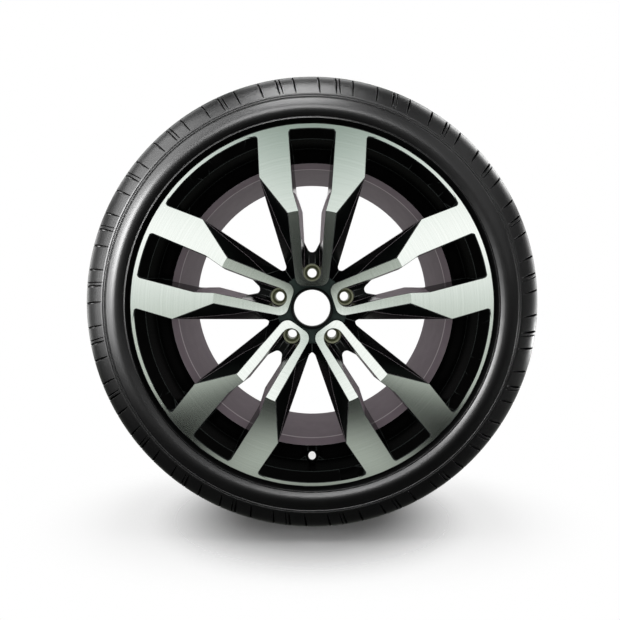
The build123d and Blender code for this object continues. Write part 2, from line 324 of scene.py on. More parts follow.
@dataclass(frozen=True)
class TurnedAlloy(Finish):
    """Bare alloy from the lathe under clear coat, with fine rings about the axis."""

    low: Colour = (0.77, 0.825, 0.785)
    high: Colour = (0.82, 0.87, 0.835)
    bands: Noise = (330.0, 4.0)
    lines: Noise = (900.0, 3.0)
    line_height: float = 0.000005
    roughness: Span = (0.20, 0.26)

    def make(self) -> Material:
        """Build the material.

        Returns:
            The material.
        """
        sheet = Sheet.start("turned_alloy")
        lines = sheet.rings(*self.lines)
        return sheet.dress(
            Metallic=1.0,
            Anisotropic=0.55,
            Coat_Weight=0.15,
            Coat_Roughness=0.08,
            Base_Color=sheet.blend(sheet.rings(*self.bands), self.low, self.high),
            Roughness=sheet.spread(lines, self.roughness),
            Normal=sheet.bump(lines, self.line_height),
            Tangent=sheet.out("ShaderNodeTangent", direction_type="RADIAL", axis="Y"),
        )


@dataclass(frozen=True)
class Paint(Finish):
    """Sprayed and stoved paint, smooth or satin, with a trace of orange peel.

    Painted highlight lies along sharp edges, and on the barrel also along a line at the back of the
    well;
    on the hub the edge colour is dark instead and paints shade along the edges. The under colour is
    that of slopes where they fall away to a wall.
    """

    name: str
    low: Colour
    high: Colour
    roughness: Span
    gloss: float
    painted_edge_shade_and_highlight: Colour
    edge: float = 0.0018
    highlight_line_y: float | None = None
    under: Colour | None = None
    cloud: Noise = (35.0, 3.0)
    peel: Noise = (420.0, 2.0)
    peel_height: float = 0.000008
    crease: Span = (0.998, 0.965)
    highlight_line_fade: Span = (0.0030, 0.0014)
    fall: Span = (0.04, 0.1)
    slope: Span = (-0.8, -0.72)

    def make(self) -> Material:
        """Build the material.

        Returns:
            The material.
        """
        sheet = Sheet.start(self.name)
        peel = sheet.grain(*self.peel)
        eased = sheet.eased(self.edge)
        body = sheet.blend(sheet.grain(*self.cloud), self.low, self.high)
        if self.highlight_line_y is not None:
            # painted highlight line round the barrel, at the bend behind the well
            body = sheet.over(sheet.line(self.highlight_line_y, self.highlight_line_fade), body, self.painted_edge_shade_and_highlight)
        # painted highlight along sharp edges; on the hub this colour is dark and paints shade there
        body = sheet.over(sheet.creased(eased, self.crease), body, self.painted_edge_shade_and_highlight)
        if self.under is not None:
            body = sheet.over(sheet.skirt(eased, self.fall, self.slope), body, self.under)
        return sheet.dress(
            Specular_IOR_Level=self.gloss,
            Base_Color=body,
            Roughness=sheet.spread(peel, self.roughness),
            Normal=sheet.bump(peel, self.peel_height, eased),
        )


@dataclass(frozen=True)
class MachinedSeat(Finish):
    """Bolt seat cut through the paint: a taper coloured by depth, with a painted highlight ring
    near its top, painted shade below it and a painted highlight towards its foot.

    The places of the rings are shares of the way from front to back.
    """

    # painted_shade_and_grime is painted shade and also the colour of random grime; pale and
    # painted_foot_highlight are painted highlights
    painted_shade_and_grime: Colour = (0.085, 0.092, 0.048)
    pale: Colour = (0.40, 0.415, 0.285)
    painted_foot_highlight: Colour = (0.26, 0.275, 0.20)
    depths: Span = (-0.0242, -0.0162)
    ring: Span = (0.05, 0.2)
    highlight_fade: Span = (0.02, 0.1)
    foot: Span = (0.70, 0.86)
    grain: Noise = (900.0, 3.0)
    grain_height: float = 0.00002
    grime: Span = (0.0, 0.3)
    roughness: Span = (0.32, 0.46)

    def make(self) -> Material:
        """Build the material.

        Returns:
            The material.
        """
        sheet = Sheet.start("bolt_seat")
        grain = sheet.grain(*self.grain)
        stops = [
            (self.ring[0] - self.highlight_fade[0], self.painted_shade_and_grime),
            (self.ring[0], self.pale),
            (self.ring[1], self.pale),
            (self.ring[1] + self.highlight_fade[1], self.painted_shade_and_grime),
            (self.foot[0], self.painted_shade_and_grime),
            (self.foot[1], self.painted_foot_highlight),
        ]
        # painted highlight and painted shade, in rings by depth
        rings = sheet.ramp(sheet.remap(sheet.along(sheet.place()), self.depths), stops)
        return sheet.dress(
            Metallic=0.2,
            Base_Color=sheet.over(sheet.spread(grain, self.grime), rings, self.painted_shade_and_grime),
            Roughness=sheet.spread(grain, self.roughness),
            Normal=sheet.bump(grain, self.grain_height),
        )


@dataclass(frozen=True)
class Rubber(Finish):
    """Moulded rubber with a soft sheen and faint mould rings."""

    name: str = "tyre_rubber"
    low: Colour = (0.0012, 0.0012, 0.0013)
    high: Colour = (0.0022, 0.0022, 0.0023)
    roughness: Span = (0.297, 0.3696)
    sheen: float = 0.03
    edge: float = 0.0009
    cloud: Noise = (26.0, 3.0)
    grain: Noise = (1400.0, 3.0)
    grain_height: float = 0.00003
    rings: Noise = (420.0, 3.0)
    ring_height: float = 0.00004

    def make(self) -> Material:
        """Build the material.

        Returns:
            The material.
        """
        sheet = Sheet.start(self.name)
        grain = sheet.grain(*self.grain)
        relief = sheet.bump(grain, self.grain_height, sheet.eased(self.edge))
        return sheet.dress(
            Specular_IOR_Level=self.sheen,
            Base_Color=sheet.blend(sheet.grain(*self.cloud), self.low, self.high),
            Roughness=sheet.spread(grain, self.roughness),
            Normal=sheet.bump(sheet.rings(*self.rings), self.ring_height, relief),
        )


@dataclass(frozen=True)
class Brass(Finish):
    """Turned brass of the valve's inner pieces."""

    low: Colour = (0.62, 0.45, 0.19)
    high: Colour = (0.76, 0.58, 0.28)
    grain: Noise = (2600.0, 3.0)
    roughness: Span = (0.24, 0.36)

    def make(self) -> Material:
        """Build the material.

        Returns:
            The material.
        """
        sheet = Sheet.start("valve_brass")
        grain = sheet.grain(*self.grain)
        return sheet.dress(
            Metallic=1.0,
            Base_Color=sheet.blend(grain, self.low, self.high),
            Roughness=sheet.spread(grain, self.roughness),
        )


@dataclass(frozen=True)
class CapPlastic(Finish):
    """Pale moulded plastic of the valve cap."""

    low: Colour = (0.92, 0.92, 0.91)
    high: Colour = (0.96, 0.96, 0.95)
    cloud: Noise = (240.0, 3.0)
    grain: Noise = (3000.0, 3.0)
    grain_height: float = 0.00001
    roughness: Span = (0.36, 0.46)

    def make(self) -> Material:
        """Build the material.

        Returns:
            The material.
        """
        sheet = Sheet.start("cap_plastic")
        grain = sheet.grain(*self.grain)
        return sheet.dress(
            Base_Color=sheet.blend(sheet.grain(*self.cloud), self.low, self.high),
            Roughness=sheet.spread(grain, self.roughness),
            Normal=sheet.bump(grain, self.grain_height),
        )


COATS: dict[Coat, Finish] = {
    Coat.TURNED: TurnedAlloy(),
    Coat.BLACK: Paint(
        name="gloss_black",
        low=(0.0012, 0.0015, 0.0015),
        high=(0.0024, 0.0030, 0.0029),
        roughness=(0.136, 0.192),
        gloss=0.07,
        # painted highlight along the sharp edges of the black paint
        painted_edge_shade_and_highlight=(0.085, 0.092, 0.088),
        under=(0.30, 0.26, 0.28),
    ),
    Coat.GREY: Paint(
        name="barrel_grey",
        low=(0.305, 0.240, 0.277),
        high=(0.345, 0.272, 0.315),
        roughness=(0.3825, 0.54),
        gloss=0.05,
        # painted highlight along sharp edges and along a line round the back of the well
        painted_edge_shade_and_highlight=(0.78, 0.70, 0.74),
        highlight_line_y=0.0024,
    ),
    Coat.HUB: Paint(
        name="hub_satin",
        low=(0.015, 0.022, 0.020),
        high=(0.022, 0.031, 0.028),
        roughness=(0.272, 0.384),
        gloss=0.06,
        # dark: painted shade along the sharp edges of the hub
        painted_edge_shade_and_highlight=(0.001, 0.0014, 0.0013),
        edge=0.0024,
    ),
    Coat.SEAT: MachinedSeat(),
    # the same gloss black paint as the spokes, darker and less glossy inside the rim: painted shade
    Coat.RIM: Paint(
        name="rim_black",
        low=(0.0006, 0.0006, 0.0006),
        high=(0.0012, 0.0012, 0.0012),
        roughness=(0.2125, 0.3),
        gloss=0.012,
        # painted highlight along the sharp edges inside the rim
        painted_edge_shade_and_highlight=(0.035, 0.041, 0.039),
    ),
}


@dataclass(frozen=True)
class Band:
    """A turned surface of the wheel: a straight line of its section.

    Corners are radius and depth behind the lip, in millimetres.
    """

    start: Corner
    end: Corner
    slack: float = 0.12
    overrun: float = 0.6

    @property
    def run(self) -> Corner:
        """The way from the start to the end."""
        return self.end[0] - self.start[0], self.end[1] - self.start[1]

    def holds(self, spot: Corner) -> bool:
        """Whether a point of the section lies on this line.

        Args:
            spot: The point.

        Returns:
            Whether it lies there, within the slack.
        """
        run = self.run
        step = (spot[0] - self.start[0], spot[1] - self.start[1])
        length = math.hypot(*run)
        along = (run[0] * step[0] + run[1] * step[1]) / length
        across = (run[0] * step[1] - run[1] * step[0]) / length
        return abs(across) < self.slack and -self.overrun < along < length + self.overrun

    def normal(self, point: Vector, towards: Vector) -> Vector:
        """Outward direction of the surface.

        Args:
            point: A point on the surface, in metres.
            towards: Direction that lies on the outer side.

        Returns:
            The unit normal.
        """
        run = self.run
        out = Vector((point.x, 0.0, point.z)).normalized()
        made = (out * run[1] + Vector((0.0, -run[0], 0.0))).normalized()
        return made if made.dot(towards) > 0 else -made


@dataclass
class AlloyWheel:
    """The wheel: one casting with a turned face, black sides and a grey inside.

    Sizes in millimetres and slopes in degrees. The facings are limits for the part of a face's
    normal along the axis, which is negative towards the front.
    """

    ridge_r: float = 141.0
    ridge_depth: float = -22.0
    face_slope: float = 9.4
    bowl_slope: float = 22.7
    lip_r: float = 269.0
    land_r: float = 263.0
    shelf: Corner = (249.0, 5.0)
    ramp_top: Corner = (246.151, 33.0)
    well_front: Corner = (229.0, 47.0)
    well_rear: Corner = (229.0, 76.0)
    flare: Corner = (246.2, 229.2)
    star_drop: float = 3.0
    star_r: float = 54.5
    slot_half: float = 30.0
    slot_foot: float = 100.0
    slot_kink: float = 168.0
    bolt_circle_r: float = 56.0
    bolt_reach: float = 15.0
    seat_depth: float = 49.5
    pairs: int = 5
    edge_width: float = 0.6
    edge_drop: float = 0.3
    weld: float = 0.005
    face_slack: float = 0.15
    star_slack: float = 0.2
    rim_slack: float = 1.0
    well_slack: float = 0.2
    front_facing: float = -0.6
    rear_facing: float = 0.3
    wall_facing: float = 0.2
    flank_facing: Span = (-0.75, -0.3)
    crease: float = 24.0

    def face_depth(self, radius: float) -> float:
        """Depth of the turned face behind the lip.

        Args:
            radius: Distance from the axis.

        Returns:
            The depth, on the face or in the bowl.
        """
        slope = self.face_slope if radius > self.ridge_r else self.bowl_slope
        return self.ridge_depth + abs(radius - self.ridge_r) * math.tan(math.radians(slope))

    def bands(self) -> list[Band]:
        """The turned surfaces that show from the front.

        Returns:
            The bowl, the face outside the ridge, and then the inside of the rim.
        """
        middle, ridge, lip, land = (
            (r, self.face_depth(r)) for r in (0.0, self.ridge_r, self.lip_r, self.land_r)
        )
        chain = (land, self.shelf, self.ramp_top, self.well_front, self.well_rear, self.flare)
        return [Band(middle, ridge), Band(ridge, lip), *map(Band, chain, chain[1:])]

    @staticmethod
    def section(point: Vector) -> Corner:
        """Radius and depth of a point, in millimetres."""
        return math.hypot(point.x, point.z) / MM, point.y / MM - LIP_Y

    def in_pair(self, point: Vector) -> Corner:
        """A point seen from the nearest pair of spokes.

        Args:
            point: The point, in metres.

        Returns:
            Its place across and along the middle line of the pair, in millimetres.
        """
        pitch = 2 * math.pi / self.pairs
        angle = math.atan2(point.x, point.z)
        angle -= round(angle / pitch) * pitch
        reach = math.hypot(point.x, point.z) / MM
        return reach * math.sin(angle), reach * math.cos(angle)

    def coat(self, face: bmesh.types.BMFace) -> Coat:
        """Finish of one face of the casting.

        Args:
            face: A face of the merged mesh.

        Returns:
            The finish that its place and direction give it.
        """
        facing = face.normal.y
        centre = face.calc_center_median()
        radius, depth = self.section(centre)
        across, along = self.in_pair(centre)
        spots = [self.section(v.co) for v in face.verts]
        sunk = [d - self.face_depth(r) for r, d in spots]
        if facing < self.front_facing and all(abs(s) < self.face_slack for s in sunk):
            return Coat.TURNED
        on_star = all(abs(s - self.star_drop) < self.star_slack for s in sunk)
        if facing < self.front_facing and radius < self.star_r and on_star:
            return Coat.HUB
        off_bolt = math.hypot(across, along - self.bolt_circle_r)
        if off_bolt < self.bolt_reach and depth > self.seat_depth:
            return Coat.SEAT
        if radius > self.well_rear[0] - self.rim_slack:
            return Coat.GREY if depth > self.well_front[1] + self.well_slack else Coat.RIM
        in_slot = abs(across) < self.slot_half and self.slot_foot < along < self.slot_kink
        if facing > self.rear_facing or (abs(facing) < self.wall_facing and in_slot):
            return Coat.GREY
        return Coat.BLACK

    def build(self, solid: Object) -> Object:
        """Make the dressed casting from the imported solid.

        Args:
            solid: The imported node.

        Returns:
            The new object, which stands for the node.
        """
        work = bmesh.new()
        work.from_mesh(solid.data)
        bmesh.ops.remove_doubles(work, verts=work.verts, dist=self.weld * MM)
        work.normal_update()
        for face in work.faces:
            face.material_index = self.coat(face).value
        self.edge(work)
        mesh = bpy.data.meshes.new("wheel_casting")
        work.to_mesh(mesh)
        work.free()
        for coat in Coat:
            mesh.materials.append(COATS[coat].make())
        self.true_normals(mesh)
        return put("wheel_casting", mesh)

    def edge(self, work: bmesh.types.BMesh) -> None:
        """Give the turned face its narrow painted edge, eased back all round.

        Args:
            work: The casting, with its finishes as material numbers.
        """
        turned = [f for f in work.faces if f.material_index == Coat.TURNED.value]
        rim = {v for f in turned for e in f.edges for v in e.verts if self.borders(e)}
        width = self.edge_width * MM
        made = bmesh.ops.inset_region(
            work, faces=turned, thickness=width, use_boundary=True, use_even_offset=True
        )
        for face in made["faces"]:
            face.material_index = Coat.BLACK.value
        for vertex in rim:
            vertex.co.y += self.edge_drop * MM
        front = (LIP_Y + self.ridge_depth) * MM
        for vertex in work.verts:
            vertex.co.y = max(vertex.co.y, front)

    @staticmethod
    def borders(edge: bmesh.types.BMEdge) -> bool:
        """Whether an edge parts the turned face from another finish."""
        return len({f.material_index == Coat.TURNED.value for f in edge.link_faces}) == 2

    def true_normals(self, mesh: Mesh) -> None:
        """Shade the turned surfaces as true cones, the flanks flat, the rest with sharp creases.

        Args:
            mesh: The casting.
        """
        mesh.shade_smooth()
        mesh.set_sharp_from_angle(angle=math.radians(self.crease))
        bands = self.bands()
        steep, shallow = self.flank_facing
        normals = [Vector((0.0, 0.0, 0.0))] * len(mesh.loops)
        points = [self.section(v.co) for v in mesh.vertices]
        for face in mesh.polygons:
            spots = [points[i] for i in face.vertices]
            band = next((b for b in bands if all(b.holds(s) for s in spots)), None)
            if face.material_index == Coat.TURNED.value:
                band = bands[self.section(face.center)[0] > self.ridge_r]
            black = face.material_index == Coat.BLACK.value
            if band is None and not (black and steep < face.normal.y < shallow):
                continue
            for index in face.loop_indices:
                point = mesh.vertices[mesh.loops[index].vertex_index].co
                flat = face.normal.copy()
                normals[index] = flat if band is None else band.normal(point, flat)
        mesh.normals_split_custom_set(normals)


@dataclass
class TyreShape:
    """The tyre: one moulding with slit shoulders.

    Sizes in millimetres, and corners as radius and depth behind the lip. A slit is its place as a
    share of the pitch, and its width. The brow of a groove is how far points lie below the tread
    and before the groove, and its foot is how far they lie above its floor and within it.
    """

    middle: float = 114.6
    crown_r: float = 351.6
    crown_drop: float = 8.2
    edge_depth: float = 16.5
    tread_depths: tuple[float, ...] = (19.0, 26.0, 37.0)
    rib_half: float = 8.0
    pitches: int = 24
    slits: tuple[Corner, ...] = ((0.14, 3.4), (0.43, 3.6), (0.495, 2.0), (0.72, 3.2))
    slit_lines: tuple[Corner, ...] = ((-1.0, 0.0), (-0.7, 1.0), (0.7, 1.0), (1.0, 0.0))
    plain_lines: tuple[float, ...] = (0.285, 0.6, 0.86)
    slit_deep: float = 8.0
    slit_foot_r: float = 310.5
    slit_foot_open: float = 0.12
    slit_foot_run: float = 16.0
    slit_head_r: float = 334.5
    slit_head_run: float = 6.0
    slit_head_shut: float = 0.95
    slit_margin: float = 1.0
    least_open: float = 0.15
    slant: float = -7.0
    slant_run: float = 40.0
    slant_r: float = 280.0
    groove_deep: float = 7.0
    groove_width: float = 9.0
    groove_places: tuple[float, ...] = (60.0, 20.0)
    groove_brow: tuple[Corner, ...] = ((0.1, 1.0), (0.8, 0.0))
    groove_foot: tuple[Corner, ...] = ((1.0, 0.8), (0.0, 2.0))
    join: float = 0.02
    crease: float = 50.0
    bead: tuple[Corner, ...] = ((252.15, 33.0), (253.9, 13.0), (262.4, 13.0))
    wall: tuple[Corner, ...] = (
        (266.5, 12.0), (270.5, 10.3), (272.8, 6.5), (274.0, 0.5), (274.7, -2.9),
        (275.4, -4.0), (276.4, -3.8), (277.4, -3.3), (278.6, -4.3), (281.0, -6.3),
        (284.0, -8.0), (287.5, -8.9), (290.5, -9.0), (294.0, -8.7), (297.5, -8.05),
        (300.3, -7.5), (301.8, -7.2), (302.3, -6.6), (302.9, -5.9), (303.4, -6.45),
        (304.2, -6.7), (305.0, -6.5), (305.6, -5.85), (306.2, -5.1), (306.8, -5.55),
        (307.9, -5.75), (309.5, -5.4), (313.0, -4.6), (318.0, -3.4), (323.0, -1.9),
        (328.0, -0.1), (332.5, 2.4), (336.3, 5.6), (339.6, 9.2), (342.0, 13.0),
    )
    liner: tuple[Corner, ...] = ((304.5, 3.1), (328.8, 31.5))

    def crown(self, depth: float) -> float:
        """Radius of the tread at a depth."""
        share = (self.middle - depth) / (self.middle - self.edge_depth)
        return self.crown_r - self.crown_drop * share * share

    def groove(self, place: float) -> list[Corner]:
        """Section of one groove.

        Args:
            place: Distance of its middle from the middle of the tread.

        Returns:
            Its points from front to back.
        """
        front = self.middle - place - self.groove_width / 2
        floor = self.crown(front) - self.groove_deep
        sides: list[list[Corner]] = []
        for edge, way in ((front, 1.0), (front + self.groove_width, -1.0)):
            brow = [(self.crown(edge) - drop, edge - way * off) for drop, off in self.groove_brow]
            foot = [(floor + rise, edge + way * off) for rise, off in self.groove_foot]
            sides.append(brow + foot)
        return sides[0] + sides[1][::-1]

    def tread(self) -> list[Corner]:
        """Front half of the tread, with the grooves.

        Returns:
            Its points from the edge to the middle.
        """
        points = [(self.crown(d), d) for d in (self.edge_depth, *self.tread_depths)]
        for place in self.groove_places:
            points += self.groove(place)
        rib = self.middle - self.rib_half
        return points + [(self.crown(rib), rib)]

    def section(self) -> list[Corner]:
        """The closed section.

        Returns:
            Its points, from the front bead over the tread and back along the inside.
        """
        front = [*self.bead, *self.wall, *self.tread()]
        rear = [(r, 2 * self.middle - d) for r, d in reversed(front)]
        inside = [(r, 2 * self.middle - d) for r, d in self.liner]
        return front + rear + inside + list(reversed(self.liner))

    def slit(self, spot: Corner) -> float:
        """How far a slit is open at a point of the section.

        Args:
            spot: The point.

        Returns:
            The share, from 0 to 1.
        """
        radius, depth = spot
        near = min(depth, 2 * self.middle - depth)
        groove = self.middle - self.groove_places[0] - self.groove_width / 2
        if near > groove - self.slit_margin or radius < self.slit_foot_r:
            return 0.0
        rise = (radius - self.slit_foot_r) / self.slit_foot_run
        fall = min(1.0, max(0.0, (radius - self.slit_head_r) / self.slit_head_run))
        return min(1.0, self.slit_foot_open + rise) * (1.0 - self.slit_head_shut * fall)

    def lean(self, spot: Corner) -> float:
        """How far the slits have slanted round the tyre at a point of the section.

        Args:
            spot: The point.

        Returns:
            The distance round the crown, opposite on the two sides.
        """
        radius, depth = spot
        if radius <= self.slant_r:
            return 0.0
        lean = self.slant * (radius - self.slit_foot_r) / self.slant_run
        return lean if depth < self.middle else -lean

    def columns(self) -> list[Column]:
        """Lines across one pitch.

        Returns:
            For each line its place along the pitch, the offset that narrows with the slit, and how
            deep it lies in a slit, from 0 to 1. Places are taken at the crown.
        """
        pitch = 2 * math.pi * self.crown_r / self.pitches
        lines = [(pitch * share, 0.0, 0.0) for share in (0.0, *self.plain_lines)]
        for share, width in self.slits:
            lines += [(pitch * share, width / 2 * side, sunk) for side, sunk in self.slit_lines]
        return sorted(lines, key=lambda line: line[0] + line[1]) + [(pitch, 0.0, 0.0)]

    def point(self, line: Column, spot: Corner, inward: Corner) -> Vector:
        """A point of the moulding.

        Args:
            line: The line across the pitch.
            spot: The point of the section.
            inward: Direction into the rubber there.

        Returns:
            The point in metres.
        """
        place, offset, sunk = line
        share = self.slit(spot)
        width = max(share, self.least_open) ** 0.5
        angle = (place + offset * width + self.lean(spot)) / self.crown_r
        fall = self.slit_deep * share * sunk
        r, d = spot[0] + inward[0] * fall, spot[1] + inward[1] * fall
        return Vector((r * math.sin(angle), LIP_Y + d, r * math.cos(angle))) * MM

    def pitch_mesh(self) -> Mesh:
        """One pitch of the tyre, open where the next one joins.

        Returns:
            The mesh.
        """
        lines, section = self.columns(), self.section()
        count = len(section)
        inward = [self.inward(section, i) for i in range(count)]
        points = [self.point(a, b, c) for a in lines for b, c in zip(section, inward)]
        faces = []
        for start in range(0, count * (len(lines) - 1), count):
            for i in range(count):
                j = (i + 1) % count
                faces.append((start + i, start + j, start + count + j, start + count + i))
        mesh = bpy.data.meshes.new("tyre_pitch")
        mesh.from_pydata(points, [], faces)
        return mesh

    @staticmethod
    def inward(section: list[Corner], index: int) -> Corner:
        """Direction into the rubber at a point of the section.

        Args:
            section: The closed section.
            index: Number of the point.

        Returns:
            The unit direction, as radius and depth.
        """
        (r0, d0), (r1, d1) = section[index - 1], section[(index + 1) % len(section)]
        run = (r1 - r0, d1 - d0)
        length = math.hypot(*run)
        return -run[1] / length, run[0] / length

    def build(self, rubber: Material) -> Object:
        """Set the pitches round the axis and join them to one moulding.

        Args:
            rubber: Finish of the tyre.

        Returns:
            The tyre as a plain mesh.
        """
        seed = put("tyre_pitch", self.pitch_mesh())
        ring = RingTree.start("tyre_ring")
        modifier = seed.modifiers.new("ring", "NODES")
        modifier.node_group = ring.tree
        modifier[ring.names["Count"]] = self.pitches
        modifier[ring.names["Join"]] = self.join * MM
        modifier[ring.names["Finish"]] = rubber
        return settle(seed, "tyre_moulding", self.crease)


@dataclass
class RingTree(Net):
    """Nodes that set copies of a piece round the wheel axis and join them."""

    names: dict[str, str]

    @classmethod
    def start(cls, name: str) -> "RingTree":
        """Make the tree and note its inputs' identifiers.

        Args:
            name: Name of the tree.

        Returns:
            The wired tree.
        """
        tree = bpy.data.node_groups.new(name, "GeometryNodeTree")
        sides = tree.interface
        inputs = {"Geometry": "Geometry", "Count": "Int", "Join": "Float", "Finish": "Material"}
        for label, kind in inputs.items():
            sides.new_socket(label, in_out="INPUT", socket_type=f"NodeSocket{kind}")
        sides.new_socket("Geometry", in_out="OUTPUT", socket_type="NodeSocketGeometry")
        made = cls(tree, {s.name: s.identifier for s in sides.items_tree if s.in_out == "INPUT"})
        made.wire()
        return made

    def wire(self) -> None:
        """Join the nodes: a point for each copy, turned by its number, then one mesh."""
        start = self.node("NodeGroupInput").outputs
        row = {"Count": start["Count"], "Offset": (0.0, 0.0, 0.0)}
        step = self.number("DIVIDE", 2 * math.pi, start["Count"])
        turn = self.number("MULTIPLY", self.out("GeometryNodeInputIndex"), step)
        about = self.out("ShaderNodeCombineXYZ", {"Y": turn})
        places = {
            "Points": self.out("GeometryNodeMeshLine", row),
            "Instance": start["Geometry"],
            "Rotation": self.out("FunctionNodeEulerToRotation", {0: about}),
        }
        copies = self.out("GeometryNodeInstanceOnPoints", places)
        real = self.out("GeometryNodeRealizeInstances", {"Geometry": copies})
        whole = {"Geometry": real, "Distance": start["Join"]}
        joined = self.out("GeometryNodeMergeByDistance", whole)
        finish = {"Geometry": joined, "Material": start["Finish"]}
        self.node("NodeGroupOutput", {0: self.out("GeometryNodeSetMaterial", finish)})


def settle(seed: Object, name: str, crease: float) -> Object:
    """Turn an object with a node tree into a plain mesh object.

    Args:
        seed: The object whose tree makes the piece; it is removed.
        name: Name of the piece.
        crease: Angle in degrees above which an edge is sharp.

    Returns:
        The finished piece, at the origin, with its normals pointing outwards.
    """
    graph = bpy.context.evaluated_depsgraph_get()
    mesh = bpy.data.meshes.new_from_object(seed.evaluated_get(graph))
    bpy.data.objects.remove(seed)
    work = bmesh.new()
    work.from_mesh(mesh)
    bmesh.ops.recalc_face_normals(work, faces=work.faces)
    work.to_mesh(mesh)
    work.free()
    mesh.shade_smooth()
    mesh.set_sharp_from_angle(angle=math.radians(crease))
    mesh.name = name
    return put(name, mesh)


@dataclass
class Valve:
    """The snap-in valve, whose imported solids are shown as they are."""

    stem: Finish = Rubber("valve_rubber", (0.012, 0.012, 0.012), (0.02, 0.02, 0.02), (0.45, 0.56))
    inner: Finish = Brass()
    cap: Finish = CapPlastic()

    def dress(self, nodes: dict[str, Object]) -> None:
        """Give the valve's solids their finishes.

        Args:
            nodes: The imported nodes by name.
        """
        brass = self.inner.make()
        finishes = {
            "valve_stem": self.stem.make(),
            "valve_core": brass,
            "valve_pin": brass,
            "valve_cap": self.cap.make(),
        }
        for node, material in finishes.items():
            mesh = nodes[node].data
            mesh.materials.clear()
            mesh.materials.append(material)


@dataclass(frozen=True)
class Patch:
    """A soft-edged patch on the studio floor. Sizes in metres; the fade is in half widths."""

    middle: Corner
    half: Corner
    inner: float
    outer: float
    fade: Span = (0.6, 1.7)

    def level(self, sheet: Sheet) -> Socket:
        """Value that runs from the patch to its surroundings.

        Args:
            sheet: The floor's material.

        Returns:
            The value: the inner one within the patch, the outer one well outside it.
        """
        shift = sheet.vector("SUBTRACT", sheet.place(), (*self.middle, 0.0))["Vector"]
        scale = (1 / self.half[0], 1 / self.half[1], 1.0)
        away = sheet.vector("LENGTH", sheet.vector("MULTIPLY", shift, scale)["Vector"])["Value"]
        return sheet.remap(away, self.fade, (self.inner, self.outer), "SMOOTHSTEP")


@dataclass(frozen=True)
class Lamp:
    """A soft square lamp that looks at the middle of the wheel, with its side in metres."""

    name: str
    place: tuple[float, float, float]
    side: float
    watts: float

    def hang(self) -> Object:
        """Put the lamp in its place.

        Returns:
            The lamp.
        """
        light = bpy.data.lights.new(self.name, "AREA")
        light.shape = "SQUARE"
        light.size = self.side
        light.energy = self.watts
        made = put(self.name, light)
        made.location = self.place
        made.rotation_euler = (-Vector(self.place)).to_track_quat("-Z", "Y").to_euler()
        return made


